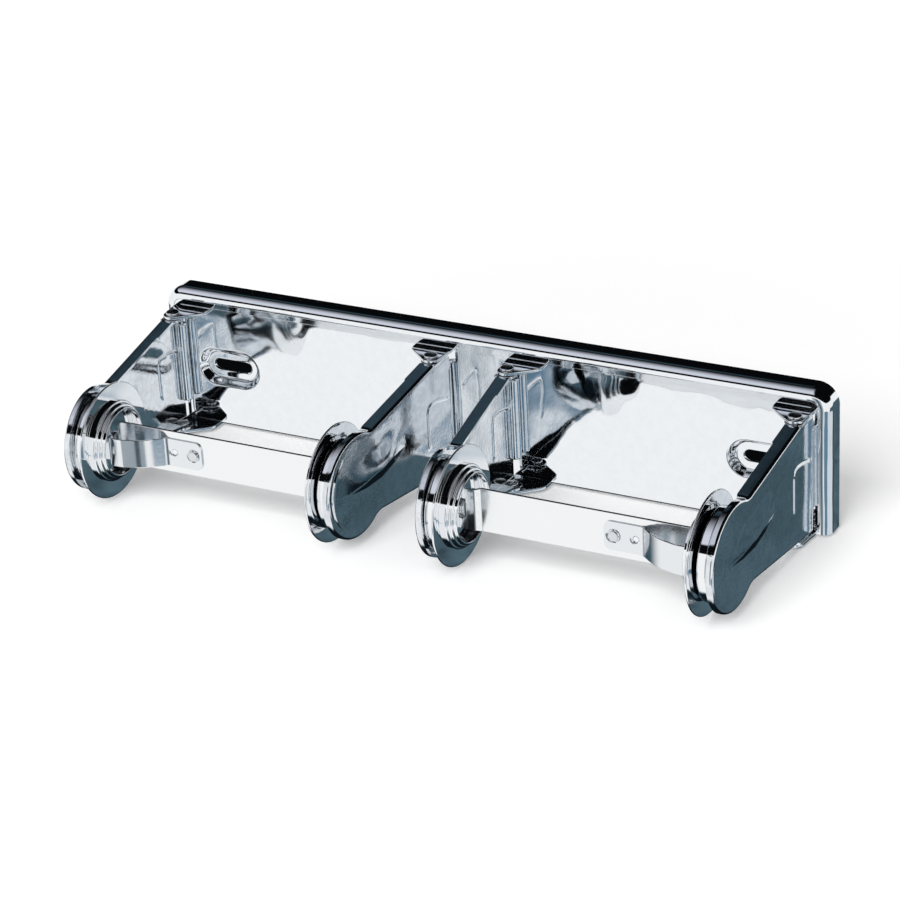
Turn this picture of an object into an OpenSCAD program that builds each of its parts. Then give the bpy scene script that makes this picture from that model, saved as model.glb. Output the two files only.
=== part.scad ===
/* [Back plate] */
// Width of the back plate over its side skirts
plate_w = 314; // [290:1:380]
// Height of the back plate
plate_h = 64; // [60:1:80]
// Height of the screw slots above the bottom edge of the plate
slot_up = 28; // [26:0.5:32]
// Distance between the two screw slots
slot_spacing = 254; // [248:1:256]
// Height of a screw slot
slot_w = 5.5; // [4.5:0.1:7]
// Length of a screw slot over its round ends
slot_len = 19; // [12:0.5:22]
// How far the plate face stands off the wall
face_depth = 9; // [8:0.5:11]
// How far the pressed border stands off the wall
border_depth = 10.5; // [10:0.25:11.5]
// Width of the pressed border
border_w = 8; // [7:0.5:9]
// Outer corner radius of the plate
corner_r = 9; // [8.5:0.5:12]
// Radius along the front edge of the border
edge_r = 4; // [2.5:0.5:5]
// Depth of the dish round each screw slot
dish_depth = 3.5; // [2:0.25:5]
// Height of the dish round each screw slot
dish_h = 17; // [14:0.5:19]
// Thickness of the plate's sheet steel
sheet_t = 1.2; // [0.8:0.1:1.5]

/* [Arms] */
// From each end of the plate in to the outer face of the outer arm, at the hub
arm_inset = 8.5; // [5:0.5:14]
// Distance between the outer faces of the two inner arms, at the hubs
inner_gap = 36.2; // [32:0.5:40]
// How far the hub axis stands off the wall
reach = 87; // [80:1:100]
// Height of the hub axis above the bottom edge of the plate
hub_up = 26; // [25:0.5:30]
// Radius of the round end of an arm
end_r = 22.6; // [21:0.2:24]
// Thickness of an arm's sheet steel
arm_t = 1.2; // [0.9:0.1:1.5]
// Width of the flange folded in along the top of an arm
flange_w = 6.5; // [4:0.5:8]
// Depth of the lip folded in round the end of an arm
lip_w = 3; // [2:0.5:4]
// Depth of the dart pressed into an arm
dart_t = 0.4; // [0.2:0.05:0.6]
// Inward lean of the outer arms, in degrees
outer_toe = 1.5; // [0:0.25:2]
// Inward lean of the inner arms, in degrees
inner_toe = 3.5; // [2:0.25:4]
// Radius of the rolled bead along the back edge of an arm
bead_r = 2.7; // [2:0.1:2.8]

/* [Arm hinges] */
// How far the hinge axis of an arm stands off the wall
hinge_out = 21; // [20.8:0.1:23]
// How far the hinge axis lies inside the middle of the arm's web
hinge_in = 3.8; // [3.5:0.1:5]
// Radius of a hinge rivet
hinge_pin_r = 1.6; // [1.4:0.05:1.8]
// Thickness of a hinge lug
lug_t = 1.5; // [1.2:0.1:1.8]
// Underside of the top lugs above the bottom edge of the plate
top_lug_up = 55; // [54:0.25:55.5]
// Underside of the bottom lugs above the bottom edge of the plate
low_lug_up = 0; // [0:0.25:1.5]
// Gap between a lug and the ear of the arm beside it
ear_gap = 0.15; // [0.1:0.05:0.4]

/* [Hubs] */
// Radius of a hub's flange disc
disc_r = 25.2; // [23:0.2:26]
// Thickness of a hub's flange disc
disc_t = 1; // [0.8:0.1:1.4]
// Outer radius of a hub cup where it meets the disc
cup_r = 17.6; // [17:0.1:19]
// Outer radius of a hub cup at its open rim
cup_rim_r = 15; // [14.5:0.1:15.5]
// Length of a hub cup from the disc to its rim
cup_len = 5.2; // [5:0.1:7]
// Thickness of a hub cup's wall
cup_t = 1; // [0.8:0.1:1.1]
// Outer radius of the collar between arm and disc
collar_r = 19.4; // [18:0.2:21]
// Inner face of the collar's end wall, from the arm's outer face
collar_out = 9.5; // [9:0.25:11]
// Height of the friction washer when pressed in
washer_t = 0.8; // [0.6:0.1:1]
// Radius of a hub axle
axle_r = 2.5; // [2:0.1:2.8]
// Running clearance of a turning fit, on the radius
run_fit = 0.05; // [0.03:0.01:0.1]

/* [Spindle bars] */
// Height of a spindle bar
bar_h = 19; // [16:0.5:20]
// Thickness of a spindle bar
bar_t = 1.3; // [1:0.1:1.6]
// How far the free end of the bar reaches into the outer hub cup
bar_grip = 2.2; // [1.5:0.1:2.4]
// Step forward of the bar where it enters the inner hub cup
joggle = 1.3; // [0.5:0.1:2]
// Height of the leaf spring
leaf_h = 12.5; // [10:0.5:13]
// Thickness of the leaf spring
leaf_t = 0.7; // [0.5:0.05:0.9]
// Length of the leaf spring's flat part on the bar
leaf_flat = 16.7; // [15:0.1:20]
// How far the leaf spring stands forward of the bar at the hub
leaf_rise = 9.2; // [7.5:0.1:9.5]
// Radius of the leaf rivet's head
leaf_rivet_r = 2.3; // [1.8:0.1:2.6]

/* [Hidden] */
$fn = 64;
eps = 0.01;
chrome = [0.80, 0.82, 0.85];
steel = [0.70, 0.71, 0.72];
spring_steel = [0.62, 0.66, 0.72];

// Stack of parts along the hub axis, from the arm's outer face inwards
disc_at = collar_out + washer_t;
cup_at = disc_at + disc_t;
cup_floor_t = cup_t;
rim_at = cup_at + cup_len;
collar_wall = 1.2;
axle_head_t = 1.2;
axle_head_r = axle_r + 1.5;
axle_play = 0.1;
outer_span = plate_w - 2 * arm_inset;
// Long enough to cut or reach right through any piece
through = plate_h;

// Hinge lugs and ears
ear_t = arm_t;
ear_r = hinge_pin_r + 2.7;
top_ear_up = top_lug_up - ear_gap - ear_t;
low_ear_up = low_lug_up + lug_t + ear_gap;
rivet_head_r = 3;
rivet_head_t = 1.2;
rivet_play = 0.1;
bead_out = 12.8;
bead_relief = 10;
bend_r = 1;

// Dart pressed into an arm: its corners as distance off the wall and height
dart_path = [[hinge_out + 27, hub_up + 0.4], [hinge_out + 45, hub_up - 3.6],
    [reach - 1, hub_up - 3.2], [reach + 7, hub_up - 1.8], [reach - 3, hub_up - 5.6],
    [hinge_out + 47, hub_up - 8.2]];

// Friction washer and hinge lugs
washer_r = 9;
lug_nose_r = 4.2;
lug_foot = 16.4;
lug_nose_from = 200;
lug_nose_to = 290;
// Raised line pressed into an arm: its width, and its corners as distance off the wall and height
line_w = 1.1;
line_h = 0.5;
line_path = [[bead_out + 3.4, hub_up + 10], [bead_out + 13.2, hub_up + 12.4],
    [bead_out + 16.6, hub_up + 12.2], [bead_out + 19, hub_up + 10], [bead_out + 19.2, hub_up - 6]];

// Where the bar and the front of its leaf lie
bar_y = -reach;
tab_y = bar_y - joggle;
tab_step = 0.45;
notch_gap = 0.5;
leaf_front = bar_y - bar_t / 2;
leaf_pin_r = 1.2;
dimple_r = 0.8;
dimple_from_rivet = 9.4;
leaf_end_r = 3;
leaf_run = 22.7;
hook_r = 2.6;

// A list of points on an arc, by angle
function arc(c, r, a0, a1, n = 10) =
    [for (i = [0:n]) c + r * [cos(a0 + (a1 - a0) * i / n), sin(a0 + (a1 - a0) * i / n)]];

// Centre of the round that blends a straight edge into the round end of an arm.
// The edge runs through p along unit u, n is its outward side and rf the blend's radius.
function blend_centre(p, u, n, h, r, rf) =
    let (o = p + n * rf - h,
         b = o * u,
         c = o * o - (r + rf) * (r + rf),
         s = -b - sqrt(max(b * b - c, 0)))
    p + n * rf + u * s;

function unit(v) = v / norm(v);
function angle_of(v) = atan2(v[1], v[0]);

// Outline of an arm seen from its side, as distance off the wall and height, drawn in by i.
root_top = [hinge_out + 4.5, top_ear_up + ear_t];
neck_top = [reach - 11, hub_up + 19.4];
root_low = [bead_out, low_ear_up];
neck_low = [reach - 15, hub_up - 18];
blend_r = 10;
function arm_outline(i = 0) =
    let (h = [reach, hub_up],
         r = end_r - i,
         ut = unit(neck_top - root_top),
         nt = [-ut[1], ut[0]],
         ul = unit(neck_low - root_low),
         nl = [ul[1], -ul[0]],
         pt = root_top - nt * i,
         pl = root_low - nl * i,
         rf = blend_r + i,
         ct = blend_centre(pt, ut, nt, h, r, rf),
         cl = blend_centre(pl, ul, nl, h, r, rf),
         ht = angle_of(ct - h),
         hl = angle_of(cl - h))
    concat(
        [[bead_out, top_ear_up + ear_t - i], [root_top[0], top_ear_up + ear_t - i]],
        arc(ct, rf, angle_of(-nt), ht - 180, 6),
        arc(h, r, ht, hl, 40),
        arc(cl, rf, hl + 180, angle_of(-nl), 6),
        [[bead_out, low_ear_up + i]]);

// Everything is drawn above the bottom edge of the plate and then set on the slots' height
module at_slots() {
    translate([0, 0, -slot_up]) children();
}

// Puts a shape drawn along the hub axis, from the arm's outer face inwards, at one arm.
// side is -1 on the left and 1 on the right.
module at_outer(side) {
    mirror([side > 0 ? 1 : 0, 0, 0]) translate([-outer_span / 2, 0, 0]) children();
}

module at_inner(side) {
    mirror([side > 0 ? 0 : 1, 0, 0]) translate([inner_gap / 2, 0, 0]) children();
}

module on_axis() {
    translate([0, -reach, hub_up]) rotate([0, 90, 0]) children();
}

// A flat shape drawn as distance off the wall and height, made thick along the hub axis
module standing(from, thick) {
    translate([from, 0, 0]) rotate([90, 0, -90]) translate([0, 0, -thick]) linear_extrude(thick) children();
}

module leaning(toe) {
    translate([0, -reach, 0]) rotate([0, 0, toe]) translate([0, reach, 0]) children();
}

// Distance from the arm's outer face at the hub to the middle of its web at the hinge
function root_shift(toe) = arm_t / 2 - (reach - bead_out) * tan(toe);

module lug_outline(u) {
    polygon(concat(
        [[u - 1.3, -face_depth + sheet_t], [u - 1.3, -face_depth - 3]],
        arc([u + hinge_in, -hinge_out], lug_nose_r, lug_nose_from, lug_nose_to, 8),
        [[u + lug_foot - 0.8, -face_depth - 7], [u + lug_foot, -face_depth - 4.5],
         [u + lug_foot, -face_depth + sheet_t]]));
}

module lug(u, up) {
    difference() {
        translate([0, 0, up]) linear_extrude(lug_t) lug_outline(u);
        translate([u + hinge_in, -hinge_out, up - 1]) cylinder(r = hinge_pin_r, h = lug_t + 2);
    }
}

module lugs(toe) {
    lug(root_shift(toe), top_lug_up);
    lug(root_shift(toe), low_lug_up);
}

// Section of the border: distance in from the outer edge, distance off the wall
function border_outer() = concat(
    [[0, 0]],
    arc([edge_r, border_depth - edge_r], edge_r, 180, 90, 8),
    [[edge_r + 0.5, border_depth], [edge_r + 0.9, border_depth - 0.5],
     [border_w - 1.6, border_depth - 0.5], [border_w - 0.8, border_depth - 0.8],
     [border_w, face_depth]]);
function border_inner() = concat(
    [[border_w, face_depth - sheet_t], [border_w - 1.6, border_depth - 0.5 - sheet_t]],
    arc([edge_r, border_depth - edge_r], edge_r - sheet_t, 90, 180, 8),
    [[sheet_t, 0]]);
module border_section() {
    polygon(concat(border_outer(), border_inner()));
}

// The border up both sides and along the top, turned round both upper corners
module border() {
    straight_up = plate_h - corner_r;
    straight_across = plate_w - 2 * corner_r;
    for (side = [0, 1]) mirror([side, 0, 0]) {
        translate([-plate_w / 2, 0, 0]) linear_extrude(straight_up) mirror([0, 1]) border_section();
        translate([-plate_w / 2 + corner_r, 0, straight_up])
            rotate([90, 0, 0]) rotate([0, 0, 90]) rotate_extrude(angle = 90)
            translate([corner_r, 0]) mirror([1, 0]) border_section();
    }
    translate([-straight_across / 2, 0, plate_h])
        rotate([0, 90, 0]) linear_extrude(straight_across) mirror([0, 1]) border_section();
}

module slot_shape(len, wide, from, thick) {
    translate([0, -from, slot_up]) rotate([90, 0, 0]) {
        for (end = [-1, 1]) translate([end * (len - wide) / 2, 0, 0]) cylinder(r = wide / 2, h = thick);
        translate([-(len - wide) / 2, -wide / 2, 0]) cube([len - wide, wide, thick]);
    }
}

// Long dish with sloping ends round a screw slot, as a solid of its outer or inner skin
module dish(grow, from, thick) {
    len = slot_len + dish_h - slot_w;
    slope = dish_depth * 0.55;
    translate([0, -from, slot_up]) rotate([90, 0, 0]) {
        for (end = [-1, 1]) translate([end * (len - dish_h) / 2, 0, 0])
            cylinder(r1 = dish_h / 2 - slope + grow, r2 = dish_h / 2 + grow, h = thick);
        rotate([90, 0, 90]) translate([0, 0, -(len - dish_h) / 2]) linear_extrude(len - dish_h)
            polygon([[-(dish_h / 2 - slope + grow), 0], [dish_h / 2 - slope + grow, 0],
                     [dish_h / 2 + grow, thick], [-(dish_h / 2 + grow), thick]]);
    }
}

module plate_face() {
    face_w = plate_w - 2 * border_w;
    face_h = plate_h - border_w;
    translate([-face_w / 2 - eps, -face_depth, 0]) cube([face_w + 2 * eps, sheet_t, face_h + eps]);
    // Plain return along the bottom edge, back to the wall
    translate([-plate_w / 2 + sheet_t / 2, -face_depth + sheet_t / 2, 0])
        cube([plate_w - sheet_t, face_depth - sheet_t / 2, sheet_t]);
}

module back_plate() {
    color(chrome) at_slots() {
        difference() {
            union() {
                border();
                plate_face();
                for (side = [-1, 1]) {
                    at_outer(side) lugs(outer_toe);
                    at_inner(side) lugs(inner_toe);
                    translate([side * slot_spacing / 2, 0, 0])
                        dish(sheet_t, face_depth - dish_depth - sheet_t, dish_depth + sheet_t - 0.3);
                }
            }
            for (side = [-1, 1]) translate([side * slot_spacing / 2, 0, 0]) {
                dish(0, face_depth - dish_depth, dish_depth + eps);
                slot_shape(slot_len, slot_w, 0, face_depth + 1);
            }
        }
    }
}

// Ear that carries an arm on its hinge rivet
module ear(up, toe) {
    u = root_shift(toe) + hinge_in;
    web = root_shift(toe) - arm_t / 2;
    difference() {
        union() {
            translate([u, -hinge_out, up]) cylinder(r = ear_r, h = ear_t);
            translate([web + arm_t / 2, -hinge_out - ear_r, up])
                cube([u - web - arm_t / 2, 2 * ear_r, ear_t]);
        }
        translate([u, -hinge_out, up - 1]) cylinder(r = hinge_pin_r + run_fit, h = ear_t + 2);
    }
}

// Web with its flanges: a pan with the arm's outline, open inwards.
// The folds run full width along the top, taper along the bottom and leave a low lip at the end.
module arm_shell() {
    fold_start = hinge_out + ear_r + 1;
    top_end = reach - 10;
    difference() {
        union() {
            standing(0, bend_r) polygon(arm_outline(bend_r * 0.6));
            standing(bend_r, flange_w - bend_r) polygon(arm_outline(0));
        }
        standing(arm_t, flange_w) polygon(arm_outline(arm_t));
        translate([0, 0, hub_up]) linear_extrude(plate_h) polygon([
            [flange_w + 1, -top_end + 4], [flange_w, -top_end + 4], [lip_w, -top_end - 4],
            [lip_w, -2 * reach], [flange_w + 1, -2 * reach]]);
        translate([0, 0, -plate_h]) linear_extrude(plate_h + hub_up + eps) polygon([
            [flange_w + 1, 0], [flange_w, -fold_start], [arm_t + 0.6, -reach * 0.6],
            [lip_w, -reach + 12], [lip_w, -2 * reach], [flange_w + 1, -2 * reach]]);
        // The back edge is open but for the ears
        translate([arm_t, -fold_start + 2, -plate_h]) cube([flange_w, fold_start, 3 * plate_h]);
    }
}

// Points beside a path, w to its left, with mitred corners
function beside(path, w) = [for (i = [0:len(path) - 1])
    let (a = unit(path[max(i, 1)] - path[max(i, 1) - 1]),
         b = unit(path[min(i + 1, len(path) - 1)] - path[min(i + 1, len(path) - 1) - 1]),
         n = unit([-a[1] - b[1], a[0] + b[0]]))
    path[i] + n * w / (n * [-a[1], a[0]])];

// A strip of width w with the path as its middle line
module strip_along(path, w) {
    right = beside(path, -w / 2);
    polygon(concat(beside(path, w / 2), [for (i = [len(right) - 1:-1:0]) right[i]]));
}

// Points that round the corner b between a and c with radius r
function round_corner(a, b, c, r, n = 6) =
    let (u = unit(a - b),
         v = unit(c - b),
         half = acos(u * v) / 2,
         o = b + unit(u + v) * r / sin(half),
         a0 = angle_of(b + u * r / tan(half) - o),
         turn = angle_of(b + v * r / tan(half) - o) - a0)
    arc(o, r, a0, a0 + (turn > 180 ? turn - 360 : turn < -180 ? turn + 360 : turn), n);

// Raised line along its path, drawn side on
module pressed_line() {
    strip_along(line_path, line_w);
}

module arm(toe) {
    leaning(toe) {
        difference() {
            union() {
                arm_shell();
                standing(-line_h, line_h + arm_t / 2) pressed_line();
                standing(arm_t / 2, arm_t / 2 + dart_t) polygon(dart_path);
            }
            standing(arm_t - line_h, line_h + eps) pressed_line();
            standing(-eps, dart_t + eps) polygon(dart_path);
        }
        translate([arm_t / 2, -bead_out, low_ear_up + bead_relief])
            cylinder(r = bead_r, h = top_ear_up - low_ear_up - 2 * bead_relief + 3);
    }
    ear(top_ear_up, toe);
    ear(low_ear_up, toe);
}

module hinge_rivet(up, ear_up, above) {
    // up is the lug's outer side, where the formed head sits
    base = above ? ear_up - rivet_play : up;
    len = above ? up - base : ear_up + ear_t + rivet_play - up;
    translate([0, 0, base]) cylinder(r = hinge_pin_r, h = len);
    translate([0, 0, above ? up : up - rivet_head_t]) cylinder(r = rivet_head_r, h = rivet_head_t);
    translate([0, 0, above ? base - rivet_head_t : base + len])
        cylinder(r = hinge_pin_r + 1, h = rivet_head_t);
}

module hinge_rivets(toe) {
    translate([root_shift(toe) + hinge_in, -hinge_out, 0]) {
        hinge_rivet(top_lug_up + lug_t, top_ear_up, true);
        hinge_rivet(low_lug_up, low_ear_up, false);
    }
}

// Two bands with a fine groove between them, up to the end wall just short of the disc
module collar(toe) {
    band = collar_out - 5;
    difference() {
        on_axis() rotate_extrude() polygon([
            [axle_r, collar_out - collar_wall], [axle_r, collar_out], [collar_r - 1.6, collar_out],
            [collar_r - 0.3, collar_out - 0.4], [collar_r, collar_out - 1],
            [collar_r, band + 0.6], [collar_r - 0.5, band + 0.3], [collar_r, band], [collar_r, -2],
            [collar_r - collar_wall, -2], [collar_r - collar_wall, collar_out - collar_wall]]);
        leaning(toe) translate([arm_t - through, -2 * reach, -reach]) cube([through, 2 * reach, 3 * reach]);
    }
}

// Both heads of an axle lie just clear of what they hold together
module axle() {
    head_at = collar_out - collar_wall - axle_head_t;
    far_at = cup_at + cup_floor_t + axle_play;
    on_axis() {
        translate([0, 0, head_at]) cylinder(r = axle_head_r, h = axle_head_t);
        translate([0, 0, head_at]) cylinder(r = axle_r, h = far_at + axle_head_t - head_at);
        translate([0, 0, far_at]) cylinder(r = axle_head_r, h = axle_head_t);
    }
}

// Pressed-flat wave washer that drags on the hub
module washer() {
    on_axis() translate([0, 0, collar_out]) difference() {
        cylinder(r = washer_r, h = washer_t);
        translate([0, 0, -1]) cylinder(r = axle_r + run_fit, h = washer_t + 2);
    }
}

module disc() {
    roll = disc_t / 2;
    on_axis() difference() {
        translate([0, 0, disc_at]) rotate_extrude() polygon(concat(
            [[axle_r / 2, 0]],
            arc([disc_r - roll, roll], roll, -90, 90, 6),
            [[axle_r / 2, disc_t]]));
        cylinder(r = axle_r + run_fit, h = through);
    }
}

// Stepped cup: two round steps down to the open rim, the inside sloping out behind the last step
module cup() {
    z1 = cup_len * 0.36;
    z2 = cup_len * 0.7;
    r2 = (cup_r + cup_rim_r) / 2;
    s = 0.6;
    on_axis() translate([0, 0, cup_at]) difference() {
        rotate_extrude() polygon(concat(
            [[axle_r / 2, 0]],
            [[cup_r, 0]],
            arc([cup_r - s, z1 - s], s, 0, 90, 5),
            arc([r2 - s, z2 - s], s, 0, 90, 5),
            arc([cup_rim_r - cup_t / 2, cup_len - cup_t / 2], cup_t / 2, 0, 180, 8),
            [[cup_rim_r - cup_t, z2 - 0.3], [r2 - cup_t, z1 + 0.1],
             [r2 - cup_t, cup_floor_t], [axle_r / 2, cup_floor_t]]));
        translate([0, 0, -1]) cylinder(r = axle_r + run_fit, h = through);
    }
}

// The bar is drawn in plan for the right bay, from the inner hub to the outer hub
inner_x = inner_gap / 2;
outer_x = outer_span / 2;
floor_x = inner_x + cup_at + cup_floor_t;
bar_end_x = outer_x - rim_at + bar_grip;
step_x = inner_x + rim_at + 1.2;
bar_x = step_x + 2 * joggle;
module spindle_bar() {
    h2 = bar_h / 2;
    tab_h = min(bar_h - 2 * tab_step, 2 * sqrt(pow(cup_rim_r - cup_t - 0.8, 2) - pow(joggle + bar_t, 2)));
    notch_h = 2 * (axle_head_r + notch_gap);
    notch_len = axle_play + axle_head_t + notch_gap;
    translate([0, 0, hub_up]) difference() {
        union() {
            // Straight bar with clipped corners at its free end
            translate([0, bar_y + bar_t / 2, 0]) rotate([90, 0, 0]) linear_extrude(bar_t)
                polygon([[bar_x - 0.8, -h2], [bar_end_x - 2, -h2], [bar_end_x, -h2 + 2],
                         [bar_end_x, h2 - 2], [bar_end_x - 2, h2], [bar_x - 0.8, h2]]);
            // Tab that stands on the floor of the inner cup, a step forward of the bar
            translate([0, 0, -tab_h / 2]) linear_extrude(tab_h)
                strip_along([[floor_x, tab_y], [step_x, tab_y], [bar_x, bar_y], [bar_x + 1, bar_y]], bar_t);
        }
        // Notch that leaves the axle's head free
        translate([floor_x - 1, tab_y - joggle - bar_t, -notch_h / 2])
            cube([notch_len + 1, 2 * (joggle + bar_t) + bar_t, notch_h]);
        translate([leaf_rivet_x, bar_y - 3, 0]) rotate([-90, 0, 0]) cylinder(r = leaf_pin_r, h = 6);
    }
}

leaf_bend_x = outer_x - rim_at - leaf_run;
leaf_x = leaf_bend_x - leaf_flat;
leaf_rivet_x = leaf_x + 4.2;
crest_x = outer_x - rim_at - 1;
// Middle line of the leaf in plan: flat, a steep bend, a long slope, the crest and the hooked tip
function leaf_line() =
    let (a = [leaf_x, 0],
         b = [leaf_bend_x, 0],
         c = [leaf_bend_x + 5.3, leaf_rise * 0.48],
         d = [crest_x - 4.6, leaf_rise],
         e = [crest_x, leaf_rise])
    concat([a], round_corner(a, b, c, 5), round_corner(b, c, d, 6), round_corner(c, d, e, 9),
        arc(e - [0, hook_r], hook_r, 90, -25, 10));
module leaf_spring() {
    y0 = leaf_front - leaf_t / 2;
    c = leaf_end_r;
    translate([0, 0, hub_up]) difference() {
        translate([0, 0, -leaf_h / 2]) linear_extrude(leaf_h)
            strip_along([for (p = leaf_line()) [p[0], y0 - p[1]]], leaf_t);
        // Rounded end of the flat part
        for (s = [0, 1]) mirror([0, 0, s])
            translate([leaf_x - eps, y0 - leaf_t - 1, leaf_h / 2 - c]) difference() {
                cube([c, leaf_t + 2, c + eps]);
                translate([c, -1, 0]) rotate([-90, 0, 0]) cylinder(r = c, h = leaf_t + 4);
            }
        for (hole = [[leaf_rivet_x, leaf_pin_r], [leaf_rivet_x + dimple_from_rivet, dimple_r]])
            translate([hole[0], y0 - leaf_t, 0]) rotate([-90, 0, 0]) cylinder(r = hole[1], h = 2 * leaf_t);
    }
}

module leaf_rivet() {
    translate([leaf_rivet_x, 0, hub_up]) {
        translate([0, bar_y + bar_t / 2, 0]) rotate([90, 0, 0]) cylinder(r = leaf_pin_r, h = bar_t + leaf_t);
        translate([0, leaf_front - leaf_t, 0]) rotate([90, 0, 0]) cylinder(r = leaf_rivet_r, h = 0.9);
        translate([0, bar_y + bar_t / 2 + 0.7, 0]) rotate([90, 0, 0]) cylinder(r = 2, h = 0.7);
    }
}

module in_bay(side) {
    mirror([side > 0 ? 0 : 1, 0, 0]) children();
}

module arm_at(side, outer) {
    color(chrome) at_slots()
        if (outer) at_outer(side) arm(outer_toe); else at_inner(side) arm(inner_toe);
}
module rivets_at(side, outer) {
    color(steel) at_slots()
        if (outer) at_outer(side) hinge_rivets(outer_toe); else at_inner(side) hinge_rivets(inner_toe);
}
module collar_at(side, outer) {
    color(chrome) at_slots()
        if (outer) at_outer(side) collar(outer_toe); else at_inner(side) collar(inner_toe);
}
module axle_at(side, outer) {
    color(steel) at_slots() if (outer) at_outer(side) axle(); else at_inner(side) axle();
}
module washer_at(side, outer) {
    color(spring_steel) at_slots() if (outer) at_outer(side) washer(); else at_inner(side) washer();
}
module disc_at_arm(side, outer) {
    color(chrome) at_slots() if (outer) at_outer(side) disc(); else at_inner(side) disc();
}
module cup_at_arm(side, outer) {
    color(chrome) at_slots() if (outer) at_outer(side) cup(); else at_inner(side) cup();
}

back_plate();
arm_at(-1, true);  // left_outer_arm
arm_at(-1, false);  // left_inner_arm
arm_at(1, false);  // right_inner_arm
arm_at(1, true);  // right_outer_arm
rivets_at(-1, true);  // left_outer_hinge_rivets
rivets_at(-1, false);  // left_inner_hinge_rivets
rivets_at(1, false);  // right_inner_hinge_rivets
rivets_at(1, true);  // right_outer_hinge_rivets
collar_at(-1, true);  // left_outer_collar
collar_at(-1, false);  // left_inner_collar
collar_at(1, false);  // right_inner_collar
collar_at(1, true);  // right_outer_collar
axle_at(-1, true);  // left_outer_axle
axle_at(-1, false);  // left_inner_axle
axle_at(1, false);  // right_inner_axle
axle_at(1, true);  // right_outer_axle
washer_at(-1, true);  // left_outer_washer
washer_at(-1, false);  // left_inner_washer
washer_at(1, false);  // right_inner_washer
washer_at(1, true);  // right_outer_washer
disc_at_arm(-1, true);  // left_outer_disc
disc_at_arm(-1, false);  // left_inner_disc
disc_at_arm(1, false);  // right_inner_disc
disc_at_arm(1, true);  // right_outer_disc
cup_at_arm(-1, true);  // left_outer_cup
cup_at_arm(-1, false);  // left_inner_cup
cup_at_arm(1, false);  // right_inner_cup
cup_at_arm(1, true);  // right_outer_cup
color(steel) at_slots() in_bay(-1) spindle_bar();  // left_spindle_bar
color(steel) at_slots() in_bay(1) spindle_bar();  // right_spindle_bar
color(spring_steel) at_slots() in_bay(-1) leaf_spring();  // left_leaf_spring
color(spring_steel) at_slots() in_bay(1) leaf_spring();  // right_leaf_spring
color(steel) at_slots() in_bay(-1) leaf_rivet();  // left_leaf_rivet
color(steel) at_slots() in_bay(1) leaf_rivet();  // right_leaf_rivet
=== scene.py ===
import math

import bpy
import bmesh
import numpy as np
from mathutils import Matrix, Vector
from mathutils.geometry import delaunay_2d_cdt


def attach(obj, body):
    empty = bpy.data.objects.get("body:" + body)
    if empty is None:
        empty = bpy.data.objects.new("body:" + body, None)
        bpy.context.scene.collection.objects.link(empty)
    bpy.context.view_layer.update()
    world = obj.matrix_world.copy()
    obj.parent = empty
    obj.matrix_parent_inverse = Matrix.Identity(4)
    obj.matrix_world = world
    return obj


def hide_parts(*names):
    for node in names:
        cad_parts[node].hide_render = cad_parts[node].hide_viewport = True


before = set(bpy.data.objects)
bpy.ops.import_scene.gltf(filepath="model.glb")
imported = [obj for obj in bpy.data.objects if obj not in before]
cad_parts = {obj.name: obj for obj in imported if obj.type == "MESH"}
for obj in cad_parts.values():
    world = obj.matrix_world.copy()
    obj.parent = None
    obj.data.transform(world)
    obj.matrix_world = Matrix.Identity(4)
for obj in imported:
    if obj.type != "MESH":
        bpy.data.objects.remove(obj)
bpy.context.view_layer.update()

mm = 0.001

# Sizes that several pieces share, in millimetres. Heights run from the plate's bottom edge,
# and "in" means from an arm's outer face towards the roll.
dispenser = {
    "slotUp": 28.0,       # slots above the bottom edge
    "reach": 87.0,        # hub axis off the wall
    "hubUp": 26.0,        # hub axis above the bottom edge
    "outerSpan": 297.0,   # over the two outer arms
    "innerGap": 36.2,     # over the two inner arms
    "axleR": 2.5,
}
reach, hubUp = dispenser["reach"], dispenser["hubUp"]

scene = bpy.context.scene
scene.view_settings.view_transform = "Standard"


def linear(hexColour):
    parts = [int(hexColour[i:i + 2], 16) / 255 for i in (1, 3, 5)]
    return [c / 12.92 if c <= 0.04045 else ((c + 0.055) / 1.055) ** 2.4 for c in parts] + [1.0]


# links: socket name or number -> a node (its first output), an output socket or a plain value
def addNode(tree, kind, settings=None, links=None):
    node = tree.nodes.new(kind)
    for key, value in (settings or {}).items():
        setattr(node, key, value)
    for key, value in (links or {}).items():
        socket = node.inputs[key]
        if isinstance(value, bpy.types.Node):
            value = value.outputs[0]
        if isinstance(value, bpy.types.NodeSocket):
            tree.links.new(value, socket)
        else:
            socket.default_value = value
    return node


def newMaterial(name):
    mat = bpy.data.materials.new(name)
    mat.use_nodes = True
    mat.node_tree.nodes.clear()
    return mat, mat.node_tree


def finishMaterial(tree, surface):
    addNode(tree, "ShaderNodeOutputMaterial", links={"Surface": surface})


# The scale of a pattern whose marks lie this many millimetres apart
def spaced(apart):
    return 1 / (apart * mm)


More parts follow.
